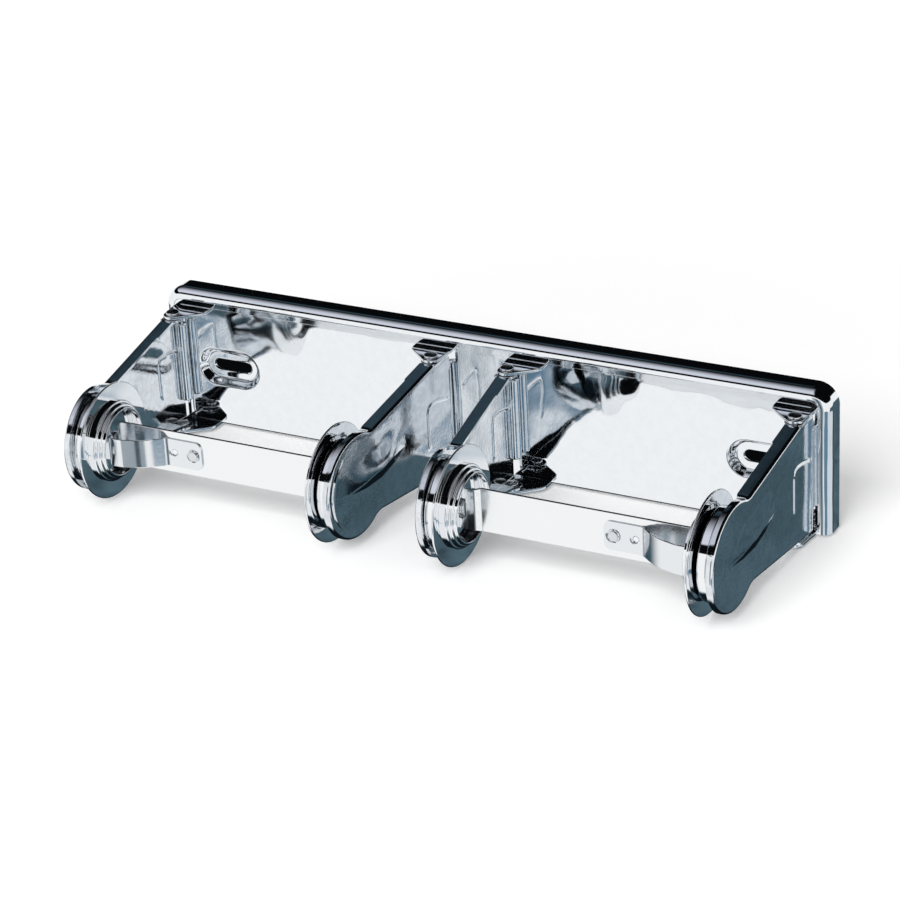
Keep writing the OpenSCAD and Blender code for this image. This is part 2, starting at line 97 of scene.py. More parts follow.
# Bright chrome plate on pressed sheet: mirror-like, with the slow waves that pressing leaves
# in thin steel and a faint haze from wiping. wave and grain are heights in metres, and mottle is
# how far a cloudy film dulls it. Above the height calmAbove, in metres, the waves die away.
def chromedSheet(name, colour, rough, wave, grain, mottle=0.0, calmAbove=1.0):
    mat, tree = newMaterial(name)
    place = addNode(tree, "ShaderNodeTexCoord").outputs["Object"]
    waves = addNode(tree, "ShaderNodeTexNoise", links={"Vector": place, "Scale": spaced(35.7), "Detail": 1.5})
    haze = addNode(tree, "ShaderNodeTexNoise", links={"Vector": place, "Scale": spaced(18.2), "Detail": 4.0})
    # the plating's peel is finer in truth, and drawn this coarse to show
    peel = addNode(tree, "ShaderNodeTexNoise", links={"Vector": place, "Scale": spaced(1.11), "Detail": 2.0})
    roughRange = addNode(tree, "ShaderNodeMapRange", links={
        "Value": haze, "From Min": 0.35, "From Max": 0.75,
        "To Min": rough * 0.6, "To Max": rough * 1.6})
    height = addNode(tree, "ShaderNodeSeparateXYZ", links={0: place}).outputs["Z"]
    depth = addNode(tree, "ShaderNodeMapRange", links={
        "Value": height, "From Min": calmAbove - 0.002, "From Max": calmAbove,
        "To Min": wave, "To Max": wave * 0.05})
    bump = addNode(tree, "ShaderNodeBump", links={"Height": waves, "Strength": 1.0, "Distance": depth})
    fine = addNode(tree, "ShaderNodeBump", links={
        "Height": peel, "Strength": 1.0, "Distance": grain, "Normal": bump})
    tint = linear(colour)
    if mottle:   # the film lies in flecks of about 4 mm
        film = addNode(tree, "ShaderNodeTexNoise", links={
            "Vector": place, "Scale": spaced(3.85), "Detail": 5.0, "Roughness": 0.65})
        filmRange = addNode(tree, "ShaderNodeMapRange", links={
            "Value": film, "From Min": 0.36, "From Max": 0.6, "To Min": 1.0 - mottle, "To Max": 1.0})
        tint = addNode(tree, "ShaderNodeVectorMath", {"operation": "SCALE"}, {
            0: tint[:3], "Scale": filmRange})
    shader = addNode(tree, "ShaderNodeBsdfPrincipled", links={
        "Base Color": tint, "Metallic": 1.0,
        "Roughness": roughRange, "Normal": fine})
    finishMaterial(tree, shader)
    return mat


# Bright rolled strip: the rolling lines run along it and spread reflections up and down.
def rolledStrip(name, colour, rough):
    mat, tree = newMaterial(name)
    place = addNode(tree, "ShaderNodeTexCoord").outputs["Object"]
    # lines 50 mm long and about 0.4 mm apart, drawn this coarse to show
    along = addNode(tree, "ShaderNodeMapping", links={
        "Vector": place, "Scale": (spaced(50), spaced(1.11), spaced(0.385))})
    lines = addNode(tree, "ShaderNodeTexNoise", links={"Vector": along, "Scale": 1.0, "Detail": 3.0})
    roughRange = addNode(tree, "ShaderNodeMapRange", links={
        "Value": lines, "From Min": 0.3, "From Max": 0.7,
        "To Min": rough * 0.7, "To Max": rough * 1.3})
    bump = addNode(tree, "ShaderNodeBump", links={"Height": lines, "Strength": 1.0, "Distance": 0.000004})
    shader = addNode(tree, "ShaderNodeBsdfPrincipled", links={
        "Base Color": linear(colour), "Metallic": 1.0,
        "Roughness": roughRange, "Normal": bump})
    finishMaterial(tree, shader)
    return mat


# the plate waves most over its wide face and runs true along its border
chrome = chromedSheet("chromePlatedSheetSteel", "#EEF1F4", rough=0.05, wave=0.0012, grain=0.0000015,
                      mottle=0.03, calmAbove=0.028)
# the arms are a little cloudy and grained, so the dark that they mirror looks like slate
armChrome = chromedSheet("chromePlatedArmSteel", "#E6EAEE", rough=0.07, wave=0.0005, grain=0.000022,
                         mottle=0.14)
# drawing stretches the hubs smooth, so they mirror most sharply
hubChrome = chromedSheet("chromePlatedDrawnSteel", "#F0F2F4", rough=0.04, wave=0.00002, grain=0.000001)
# the bars have a soft sheen, and their leaf springs mirror a little more
strip = rolledStrip("brightRolledStripSteel", "#F2F4F5", rough=0.16)
spring = rolledStrip("polishedSpringSteel", "#E6E9EC", rough=0.12)
# hammering leaves the rivet heads duller
rivetSteel = chromedSheet("platedRivetSteel", "#DADDE0", rough=0.16, wave=0.00001, grain=0.000004)


def unit(v):
    return v / np.linalg.norm(v)


def arc(centre, r, fromDeg, toDeg, n):
    a = np.radians(np.linspace(fromDeg, toDeg, n + 1))
    return np.array(centre) + r * np.stack([np.cos(a), np.sin(a)], 1)


def degrees(v):
    return math.degrees(math.atan2(v[1], v[0]))


# 0 below 0, 1 above 1 and a smooth step between
def eased(t):
    t = np.clip(t, 0, 1)
    return t * t * (3 - 2 * t)


# Rounds the corners of a closed outline, given a radius for each corner
def rounded(corners, radii, n=5):
    out = []
    pts = [np.array(c, float) for c in corners]
    for k, (p, r) in enumerate(zip(pts, radii)):
        a, b = pts[k - 1] - p, pts[(k + 1) % len(pts)] - p
        la, lb = np.linalg.norm(a), np.linalg.norm(b)
        a, b = a / la, b / lb
        half = math.acos(max(-1, min(1, float(a @ b)))) / 2
        if r <= 0 or half > math.radians(89):
            out.append(p)
            continue
        cut = min(r / math.tan(half), la * 0.49, lb * 0.49)
        for t in np.linspace(0, 1, n + 1):
            # a quadratic curve is close to the arc at these sizes
            out.append((1 - t) ** 2 * (p + a * cut) + 2 * t * (1 - t) * p + t * t * (p + b * cut))
    return np.array(out)


def insideOutline(points, outline):
    x, y = points[:, 0], points[:, 1]
    inside = np.zeros(len(points), bool)
    ax, ay = outline[:, 0], outline[:, 1]
    bx, by = np.roll(ax, -1), np.roll(ay, -1)
    for k in range(len(outline)):
        if ay[k] == by[k]:
            continue
        crosses = (ay[k] > y) != (by[k] > y)
        at = (bx[k] - ax[k]) * (y - ay[k]) / (by[k] - ay[k]) + ax[k]
        inside ^= crosses & (x < at)
    return inside


def distanceToPath(points, path, closed=False):
    best = np.full(len(points), 1e9)
    count = len(path) if closed else len(path) - 1
    for k in range(count):
        a, b = path[k], path[(k + 1) % len(path)]
        ab = b - a
        t = np.clip(((points - a) @ ab) / max(ab @ ab, 1e-12), 0, 1)
        best = np.minimum(best, np.linalg.norm(points - (a + t[:, None] * ab), axis=1))
    return best


# Triangles over a flat outline, with holes and with more points where detail is pressed in
def fillOutline(outline, holes, extra, spacing):
    low, high = outline.min(0), outline.max(0)
    gx, gy = np.meshgrid(np.arange(low[0], high[0], spacing), np.arange(low[1], high[1], spacing * 0.87))
    gx = gx + (np.arange(gx.shape[0]) % 2)[:, None] * spacing / 2
    grid = np.stack([gx.ravel(), gy.ravel()], 1)
    keep = insideOutline(grid, outline) & (distanceToPath(grid, outline, True) > spacing * 0.55)
    for hole in holes:
        keep &= ~insideOutline(grid, hole) & (distanceToPath(grid, hole, True) > spacing * 0.5)
    grid = grid[keep]
    if len(extra):
        # the grid leaves room for the closer points
        def cell(p):
            return int(round(p[0] / spacing * 1.6)), int(round(p[1] / spacing * 1.6))

        taken = {cell(p) for p in extra}
        grid = np.array([p for p in grid if cell(p) not in taken])
        extra = extra[insideOutline(extra, outline) & (distanceToPath(extra, outline, True) > 0.25)]
    loops = [outline] + list(holes)
    points, edges, at = [], [], 0
    for loop in loops:
        points += [tuple(p) for p in loop]
        edges += [(at + i, at + (i + 1) % len(loop)) for i in range(len(loop))]
        at += len(loop)
    points += [tuple(p) for p in grid] + [tuple(p) for p in extra]
    verts, _, faces, _, _, _ = delaunay_2d_cdt([Vector(p) for p in points], edges, [], 1, 1e-5)
    verts = np.array([[v[0], v[1]] for v in verts])
    faces = np.array([list(f) for f in faces])
    middles = verts[faces].mean(1)
    keep = insideOutline(middles, outline)
    for hole in holes:
        keep &= ~insideOutline(middles, hole)
    return verts, faces[keep].tolist()


# Joins rows of points, each as long as the next, with faces
def strips(rows, closed=False):
    rows = np.array(rows)
    n, m = rows.shape[:2]
    faces = []
    for i in range(n - 1):
        for j in range(m if closed else m - 1):
            k = (j + 1) % m
            faces.append((i * m + j, i * m + k, (i + 1) * m + k, (i + 1) * m + j))
    return rows.reshape(-1, rows.shape[2]), faces


def joined(parts):
    verts, faces, at = [], [], 0
    for v, f in parts:
        verts.append(np.asarray(v, float))
        faces += [tuple(int(i) + at for i in face) for face in f]
        at += len(v)
    return np.concatenate(verts), faces


def flipped(faces):
    return [tuple(reversed(f)) for f in faces]


def rawMesh(verts, faces, weld=1e-3):
    mesh = bpy.data.meshes.new("raw")
    mesh.from_pydata([tuple(v) for v in verts], [], [tuple(f) for f in faces])
    bm = bmesh.new()
    bm.from_mesh(mesh)
    bmesh.ops.remove_doubles(bm, verts=bm.verts, dist=weld)
    bm.to_mesh(mesh)
    bm.free()
    return mesh


# Turns a closed mesh's faces outwards, once its doubles and its flat joints are gone if asked
def facesOut(mesh, weld=0.0, flatten=0.0):
    bm = bmesh.new()
    bm.from_mesh(mesh)
    if weld:
        bmesh.ops.remove_doubles(bm, verts=bm.verts, dist=weld)
    if flatten:
        bmesh.ops.dissolve_limit(bm, angle_limit=math.radians(flatten), verts=bm.verts, edges=bm.edges)
    bmesh.ops.recalc_face_normals(bm, faces=bm.faces)
    bm.to_mesh(mesh)
    bm.free()


def newObject(name, data):
    obj = bpy.data.objects.new(name, data)
    scene.collection.objects.link(obj)
    return obj


# The evaluated object as a plain mesh, with its modifiers gone
def plainMesh(obj):
    bpy.context.view_layer.update()
    graph = bpy.context.evaluated_depsgraph_get()
    mesh = bpy.data.meshes.new_from_object(obj.evaluated_get(graph))
    bpy.data.objects.remove(obj)
    return mesh


def meshArrays(mesh):
    return np.array([v.co[:] for v in mesh.vertices]), [tuple(p.vertices) for p in mesh.polygons]


# Softens the edges of an object that are sharper than an angle in degrees
def softenEdges(obj, width, segments, angle):
    soft = obj.modifiers.new("edge", "BEVEL")
    soft.width, soft.segments = width, segments
    soft.limit_method, soft.angle_limit = "ANGLE", math.radians(angle)


# Gives a skin its sheet thickness, inwards from the side that its faces look to
def sheet(verts, faces, thick, edge=0.18):
    obj = newObject("sheet", rawMesh(verts, faces))
    wall = obj.modifiers.new("wall", "SOLIDIFY")
    wall.thickness, wall.offset, wall.use_even_offset = thick, -1, False
    softenEdges(obj, edge, 2, 55)
    return meshArrays(plainMesh(obj))


# A flat outline made thick, with softened edges. put turns (a, b, along) into a point.
def slab(outline, low, high, put, edge, holes=()):
    loops = [np.array(loop, float) for loop in (outline, *holes)]
    # a spacing wider than the slab adds no points inside
    verts, faces = fillOutline(loops[0], loops[1:], np.zeros((0, 2)), 1e3)
    bottom = np.column_stack([verts, np.full(len(verts), low)])
    top = np.column_stack([verts, np.full(len(verts), high)])
    parts = [(bottom, flipped(faces)), (top, faces)]
    for loop in loops:
        a = np.column_stack([loop, np.full(len(loop), low)])
        b = np.column_stack([loop, np.full(len(loop), high)])
        parts.append(strips([a, b], True))
    v, f = joined(parts)
    mesh = rawMesh(np.array([put(*p) for p in v]), f)
    facesOut(mesh, flatten=0.5)
    obj = newObject("slab", mesh)
    softenEdges(obj, edge, 3, 40)
    return meshArrays(plainMesh(obj))


# Geometry Nodes tree that turns a profile round an axis: every row of a grid takes the profile's
# radius and height, and the last row is welded to the first.
def turningTree():
    tree = bpy.data.node_groups.new("turnedProfile", "GeometryNodeTree")
    face = tree.interface
    face.new_socket("Geometry", in_out="INPUT", socket_type="NodeSocketGeometry")
    face.new_socket("Steps", in_out="INPUT", socket_type="NodeSocketInt").default_value = 96
    face.new_socket("Profile points", in_out="INPUT", socket_type="NodeSocketInt").default_value = 8
    face.new_socket("Material", in_out="INPUT", socket_type="NodeSocketMaterial")
    face.new_socket("Geometry", in_out="OUTPUT", socket_type="NodeSocketGeometry")
    given = addNode(tree, "NodeGroupInput").outputs
    rows = addNode(tree, "ShaderNodeMath", {"operation": "ADD"}, {0: given["Steps"], 1: 1.0})
    grid = addNode(tree, "GeometryNodeMeshGrid", links={
        "Vertices X": rows, "Vertices Y": given["Profile points"]})
    index = addNode(tree, "GeometryNodeInputIndex")
    column = addNode(tree, "ShaderNodeMath", {"operation": "MODULO"}, {0: index, 1: given["Profile points"]})
    share = addNode(tree, "ShaderNodeMath", {"operation": "DIVIDE"}, {0: index, 1: given["Profile points"]})
    row = addNode(tree, "ShaderNodeMath", {"operation": "FLOOR"}, {0: share})
    turn = addNode(tree, "ShaderNodeMath", {"operation": "DIVIDE"}, {0: row, 1: given["Steps"]})
    angle = addNode(tree, "ShaderNodeMath", {"operation": "MULTIPLY"}, {0: turn, 1: 2 * math.pi})
    where = addNode(tree, "GeometryNodeInputPosition")
    sample = addNode(tree, "GeometryNodeSampleIndex", {"data_type": "FLOAT_VECTOR"}, {
        "Geometry": given["Geometry"], "Value": where, "Index": column})
    split = addNode(tree, "ShaderNodeSeparateXYZ", links={0: sample})
    cos = addNode(tree, "ShaderNodeMath", {"operation": "COSINE"}, {0: angle})
    sin = addNode(tree, "ShaderNodeMath", {"operation": "SINE"}, {0: angle})
    x = addNode(tree, "ShaderNodeMath", {"operation": "MULTIPLY"}, {0: split, 1: cos})
    y = addNode(tree, "ShaderNodeMath", {"operation": "MULTIPLY"}, {0: split, 1: sin})
    point = addNode(tree, "ShaderNodeCombineXYZ", links={0: x, 1: y, 2: split.outputs[1]})
    moved = addNode(tree, "GeometryNodeSetPosition", links={"Geometry": grid, "Position": point})
    welded = addNode(tree, "GeometryNodeMergeByDistance", links={"Geometry": moved, "Distance": 0.0005})
    real = addNode(tree, "GeometryNodeRealizeInstances", links={0: welded})
    painted = addNode(tree, "GeometryNodeSetMaterial", links={
        "Geometry": real, "Material": given["Material"]})
    addNode(tree, "NodeGroupOutput", links={0: painted})
    return tree


turning = turningTree()


def socketId(tree, name):
    return next(i.identifier for i in tree.interface.items_tree
                if i.item_type == "SOCKET" and i.in_out == "INPUT" and i.name == name)


axisR = 0.001   # profiles stop this far short of the axis, and the weld closes them


# profile: closed list of (radius, along the axis). Gives back a closed ring of faces.
def turned(profile, steps):
    points = np.array(list(profile) + [profile[0]], float)
    mesh = bpy.data.meshes.new("profile")
    edges = [(i, i + 1) for i in range(len(points) - 1)]
    mesh.from_pydata([(p[0], p[1], 0.0) for p in points], edges, [])
    obj = newObject("profile", mesh)
    spin = obj.modifiers.new("turned", "NODES")
    spin.node_group = turning
    spin[socketId(turning, "Steps")] = steps
    spin[socketId(turning, "Profile points")] = len(points)
    spin[socketId(turning, "Material")] = hubChrome   # until addPiece gives the piece its own
    mesh = plainMesh(obj)
    facesOut(mesh, weld=1e-4)
    return meshArrays(mesh)


# Local points are (in, off the wall, above the bottom edge)
def atArm(points, side, outer):
    u, d, h = np.asarray(points).T
    x = side * (dispenser["outerSpan"] / 2 - u) if outer else side * (dispenser["innerGap"] / 2 + u)
    return np.stack([x, -d, h], 1)


# Joins the parts of one piece, moves them into the shared frame and puts the piece on its body
def addPiece(name, parts, material, body, node, recalc=False):
    verts, faces = joined(parts)
    verts = (verts - [0, 0, dispenser["slotUp"]]) * mm
    mesh = bpy.data.meshes.new(name)
    mesh.from_pydata([tuple(v) for v in verts], [], faces)
    if recalc:
        facesOut(mesh)
    mesh.polygons.foreach_set("use_smooth", [True] * len(mesh.polygons))
    mesh.set_sharp_from_angle(angle=math.radians(32))
    mesh.materials.append(material)
    draft = newObject("draft", mesh)
    # flat faces keep flat reflections beside their small rounded edges
    even = draft.modifiers.new("even", "WEIGHTED_NORMAL")
    even.mode, even.weight, even.keep_sharp = "FACE_AREA", 50, True
    obj = newObject(name, plainMesh(draft))
    obj.data.name = name
    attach(obj, body)
    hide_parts(node)


# Parts in an arm's local points, put at that arm
def onSide(parts, side, outer):
    isMirrored = (side > 0) != outer
    return [(atArm(v, side, outer), flipped(f) if isMirrored else f) for v, f in parts]


sideName = {-1: "left", 1: "right"}


def nodeName(side, outer, piece):
    return sideName[side] + ("_outer_" if outer else "_inner_") + piece


def armBody(side, outer):
    return sideName[side] + "_swing_arm" if outer else "wall_frame"


def hubBody(side, outer):
    return sideName[side] + ("_end_hub" if outer else "_spindle")


allArms = [(-1, True), (-1, False), (1, False), (1, True)]

plate = {
    "width": 314.0, "height": 64.0,
    "face": 9.0,                             # front of the flat middle, off the wall
    "sheet": 1.2, "bend": 1.6,               # thickness, and the fold along the bottom edge
    "border": 8.0, "borderOut": 10.5,        # width of the raised border and how far it stands out
    "corner": 9.0, "edgeR": 4.5,             # of the border, seen from the front and in section
    "slotSpacing": 254.0, "slotH": 5.5, "slotLen": 19.0,
    "dishH": 17.0, "dishDeep": 3.5, "dishRim": 0.5, "dishFoot": 2.7,
    "topLug": 55.0, "lowLug": 0.0, "lugThick": 1.5, "lugSide": 1.3, "lugWide": 16.4, "lugNoseR": 4.2,
    "hingeOut": 21.0, "hingeIn": 3.8, "pinR": 1.6,
}
arms = {
    "endR": 22.6, "thick": 1.2, "bend": 1.4, "blend": 10.0,
    "flange": 6.5, "flangeLow": 1.9, "flangeStep": 38.5,   # depth at the top and below, and the top one's step
    "lip": 3.0, "outerToe": 1.5, "innerToe": 3.5,          # depth round the hub end, and lean in degrees
    "beadOut": 12.8, "beadR": 2.7, "beadRelief": 10.0, "beadRise": 5.0,
    "earWall": 2.7, "earGap": 0.15,                        # metal round the hinge rivet, play at the lugs
    # ends of the two straight edges: beyond the hinge, and back from the hub and above or below it
    "rootOut": 4.5, "neckTop": (11.0, 19.4), "neckLow": (15.0, 18.0),
    "lineH": 0.5, "lineW": 1.0,
    # the dart starts and ends this far off the wall, rises and falls over these lengths, and steps
    # out above its crease over a width that grows from the first number to the sum of both
    "dart": 1.3, "dartFrom": 49.0, "dartTo": 98.0, "dartRise": 16.0, "dartFall": 26.0,
    "dartWall": (0.35, 4.0), "dartFade": 13.0,
}
earTop = plate["topLug"] - arms["earGap"] - arms["thick"]
earLow = plate["lowLug"] + plate["lugThick"] + arms["earGap"]


# How far in the middle of an arm's sheet lies at its back edge: negative, because arms lean in
# towards the hub
def rootShift(outer):
    toe = arms["outerToe"] if outer else arms["innerToe"]
    return arms["thick"] / 2 - (reach - arms["beadOut"]) * math.tan(math.radians(toe))


# Section of the border, closed: in from the outer edge, off the wall
borderSection = np.concatenate([
    [(0.0, 0.0)], arc((plate["edgeR"], plate["borderOut"] - plate["edgeR"]), plate["edgeR"], 180, 90, 16),
    rounded([(4.7, plate["borderOut"]), (4.95, 10.2), (7.45, 10.2), (plate["border"], plate["face"]),
             (plate["border"], plate["face"] - plate["sheet"]), (6.4, 8.7), (4.6, 9.3),
             (plate["sheet"], 5.9), (plate["sheet"], 0)],
            [0, 0.15, 0.25, 0, 0, 0.4, 1.5, 1.5, 0], 4)])


# The border runs up one side, across the top and down the other side
def sweepBorder():
    w, h, c = plate["width"] / 2, plate["height"], plate["corner"]
    stations = [((-w, 0.0), (-1.0, 0.0)), ((-w, 0.5), (-1.0, 0.0)), ((-w, h - c), (-1.0, 0.0))]
    for a in np.linspace(180, 90, 19)[1:]:
        out = (math.cos(math.radians(a)), math.sin(math.radians(a)))
        stations.append(((-w + c + c * out[0], h - c + c * out[1]), out))
    right = [((-p[0], p[1]), (-o[0], o[1])) for p, o in reversed(stations)]
    rows = []
    for p, o in stations + right:
        rows.append([(p[0] - o[0] * s, -off, p[1] - o[1] * s) for s, off in borderSection])
    verts, faces = strips(rows, True)
    n = len(borderSection)
    faces += [tuple(range(n)), tuple(range(len(verts) - n, len(verts)))]
    mesh = rawMesh(verts, faces, 1e-4)
    facesOut(mesh)
    return meshArrays(mesh)


# A slot's outline, with its round ends at the left and the right
def stadium(cx, cy, halfLen, r, n):
    right = arc((cx + halfLen, cy), r, -90, 90, n)
    left = arc((cx - halfLen, cy), r, 90, 270, n)
    return np.concatenate([right, left])


# How far the plate is pressed back round its two screw slots
def dishDepth(points):
    deep = np.zeros(len(points))
    half = (plate["slotLen"] - plate["slotH"]) / 2
    rim, foot = plate["dishH"] / 2 + plate["dishRim"], plate["dishH"] / 2 - plate["dishFoot"]
    for sx in (-1, 1):
        line = np.array([[sx * plate["slotSpacing"] / 2 - half, dispenser["slotUp"]],
                         [sx * plate["slotSpacing"] / 2 + half, dispenser["slotUp"]]])
        rho = distanceToPath(points, line)
        t = (rim - rho) / (rim - foot)
        deep += plate["dishDeep"] * eased(t)
    return deep


# The flat middle with its two dished slots, and its folded bottom edge
def plateFace():
    half = (plate["slotLen"] - plate["slotH"]) / 2
    tuck = 0.2   # under the border
    w, top = plate["width"] / 2 - plate["border"] + tuck, plate["height"] - plate["border"] + tuck
    b, n, m = plate["bend"], 140, 21   # n points along each long edge and m up each side
    outline = np.concatenate([
        np.stack([np.linspace(-w, w, n), np.full(n, b)], 1),
        np.stack([np.full(m - 1, w), np.linspace(b, top, m)[1:]], 1),
        np.stack([np.linspace(w, -w, n)[1:], np.full(n - 1, top)], 1),
        np.stack([np.full(m - 2, -w), np.linspace(top, b, m)[1:-1]], 1)])
    holes, extra = [], []
    for sx in (-1, 1):
        cx = sx * plate["slotSpacing"] / 2
        holes.append(stadium(cx, dispenser["slotUp"], half, plate["slotH"] / 2, 20))
        # rings of points, closest where the dish bends
        for r in (3.4, 4.4, 5.4, 6.0, 6.3, 6.6, 7.0, 7.4, 7.8, 8.2, 8.5, 8.8, 9.2, 9.8):
            ring = stadium(cx, dispenser["slotUp"], half, r, 26)
            across = np.linspace(cx - half, cx + half, 12)[1:-1]
            side = np.stack([across, np.full(10, dispenser["slotUp"] + r)], 1)
            extra += [ring, side, side * [1, 0] + [0, dispenser["slotUp"] - r]]
    verts, faces = fillOutline(outline, holes, np.concatenate(extra), 2.2)
    y = -plate["face"] + dishDepth(verts)
    skin = (np.column_stack([verts[:, 0], y, verts[:, 1]]), faces)
    # the bottom edge folds back to the wall
    x = np.linspace(-w, w, n)
    rows = []
    for a in np.radians(np.linspace(0, 90, 7)):
        y, z = -plate["face"] + b * (1 - math.cos(a)), b * (1 - math.sin(a))
        rows.append(np.stack([x, np.full(n, y), np.full(n, z)], 1))
    rows.append(np.stack([x, np.zeros(n), np.zeros(n)], 1))
    return joined([skin, strips(rows)])


# How a slab's points are put: drawn in plan, or drawn upright
def asDrawn(a, b, c):
    return a, b, c


def asStood(a, b, c):
    return a, c, b


# The two lugs of one arm, drawn in plan as (in, off the wall) with a round nose at the hinge
def lugParts(outer):
    u = rootShift(outer)
    foot, left, right = plate["face"] - 1.0, u - plate["lugSide"], u + plate["lugWide"]
    nose = arc((u + plate["hingeIn"], plate["hingeOut"]), plate["lugNoseR"], 160, 70, 10)
    outline = np.concatenate([
        [(left, foot), (left, foot + 4.0)], nose, [(right - 0.8, 16.0), (right, 13.5), (right, foot)]])
    return [slab(outline, low, low + plate["lugThick"], asDrawn, 0.35)
            for low in (plate["topLug"], plate["lowLug"])]


# An open skin with all its faces turned to one side, given by a direction
def evenNormals(verts, faces, towards):
    mesh = rawMesh(verts, faces)
    bm = bmesh.new()
    bm.from_mesh(mesh)
    bmesh.ops.recalc_face_normals(bm, faces=bm.faces)
    bm.faces.ensure_lookup_table()
    total = Vector()
    for f in bm.faces:
        total += f.normal * f.calc_area()
    if total.dot(Vector(towards)) < 0:
        bmesh.ops.reverse_faces(bm, faces=bm.faces)
    bm.to_mesh(mesh)
    bm.free()
    return meshArrays(mesh)


plateParts = [sweepBorder(), sheet(*evenNormals(*plateFace(), (0, -1, 0)), plate["sheet"])]
for side, outer in allArms:
    plateParts += onSide(lugParts(outer), side, outer)
addPiece("backPlate", plateParts, chrome, "wall_frame", "back_plate")
print("back plate done")

hub = np.array([reach, hubUp])
rootTop = np.array([plate["hingeOut"] + arms["rootOut"], earTop + arms["thick"]])
neckTop = hub + np.array(arms["neckTop"]) * [-1, 1]
rootLow = np.array([arms["beadOut"], earLow])
neckLow = hub - arms["neckLow"]


# Centre of the arc that blends a straight edge through p into the hub end
def blendCentre(p, along, out, rf):
    o = p + out * rf - hub
    b, c = o @ along, o @ o - (arms["endR"] + rf) ** 2
    return p + out * rf + along * (-b - math.sqrt(max(b * b - c, 0)))


# The arm's edge from its top back corner round the hub to its bottom back corner,
# with the direction that points off the sheet at each place. t is the top edge and l the low one:
# u runs along it, n points off the sheet, c is its blend's centre and h that centre's angle.
def armEdge():
    ut, ul = unit(neckTop - rootTop), unit(neckLow - rootLow)
    nt, nl = np.array([-ut[1], ut[0]]), np.array([ul[1], -ul[0]])
    ct, cl = blendCentre(rootTop, ut, nt, arms["blend"]), blendCentre(rootLow, ul, nl, arms["blend"])
    ht, hl = degrees(ct - hub), degrees(cl - hub)
    topEnd, lowEnd = ct - nt * arms["blend"], cl - nl * arms["blend"]
    first = np.stack([np.linspace(arms["beadOut"], rootTop[0], 8), np.full(8, rootTop[1])], 1)
    second = rootTop + np.linspace(0, 1, 46)[1:, None] * (topEnd - rootTop)
    blendT = arc(ct, arms["blend"], degrees(-nt), ht - 180, 10)
    round_ = arc(hub, arms["endR"], ht, hl, 90)
    blendL = arc(cl, arms["blend"], hl + 180, degrees(-nl), 10)
    last = lowEnd + np.linspace(0, 1, 50)[1:, None] * (rootLow - lowEnd)
    points = np.concatenate([first, second, blendT[1:], round_[1:], blendL[1:], last])
    normals = np.concatenate([
        np.tile([0.0, 1.0], (8, 1)), np.tile(nt, (45, 1)), (ct - blendT[1:]) / arms["blend"],
        (round_[1:] - hub) / arms["endR"], (cl - blendL[1:]) / arms["blend"], np.tile(nl, (49, 1))])
    return points, normals


# How deep the folded edge is at each place on it: deepest along the top up to a step, shallow
# below, and a lip round the hub end
def foldDepth(points):
    deep = []
    foldStart = plate["hingeOut"] + plate["pinR"] + arms["earWall"]
    full, step, lip = arms["flange"], arms["flangeStep"], arms["lip"]
    # the lip begins there along the top and below, and this near to the hub's height
    topLip, lowLip, band = reach - 6, reach - 12, 4
    for d, h in points:
        if d < foldStart - 0.2:
            deep.append(arms["bend"] + 0.1)   # the ears are there instead
        elif h > hubUp + band and d < step:
            deep.append(full + 0.2)
        elif h > hubUp + band and d < topLip:
            deep.append(np.interp(d, [step, topLip - 8, topLip], [full - 0.5, full - 0.5, lip]))
        elif h < hubUp - band and d < lowLip:
            deep.append(np.interp(d, [foldStart, reach * 0.6, lowLip], [full, arms["flangeLow"], lip]))
        else:
            deep.append(lip)
    return np.array(deep)


# The raised line and the dart's crease, as (off the wall, height)
linePath = np.array([(16.2, 36.0), (24.0, 38.0), (28.6, 38.4), (31.0, 37.6), (32.0, 35.4), (32.0, 20.0)])
creasePath = np.array([(52.0, 28.0), (60.0, 24.6), (70.0, 22.4), (82.0, 22.6), (96.0, 24.7)])


# Points along a path and beside it, at each offset
def beside(path, offsets, step):
    out = []
    for a, b in zip(path[:-1], path[1:]):
        t = unit(b - a)
        n = np.array([-t[1], t[0]])
        for s in np.arange(0, np.linalg.norm(b - a), step):
            out += [a + t * s + n * o for o in offsets]
    return np.array(out)


# How far the web is pressed out (minus) or in (plus)
def pressed(points):
    line = distanceToPath(points, linePath)
    ridge = -arms["lineH"] * np.exp(-(line / (arms["lineW"] * 0.5)) ** 2)
    d, h = points.T
    ends = eased(np.minimum((d - arms["dartFrom"]) / arms["dartRise"], (arms["dartTo"] - d) / arms["dartFall"]))
    above = h - np.interp(d, creasePath[:, 0], creasePath[:, 1])
    wide = arms["dartWall"][0] + arms["dartWall"][1] * ends
    wall = np.clip(above / wide, 0, 1)
    fade = eased(1 - (above - wide) / arms["dartFade"])
    return ridge - arms["dart"] * ends * wall * fade


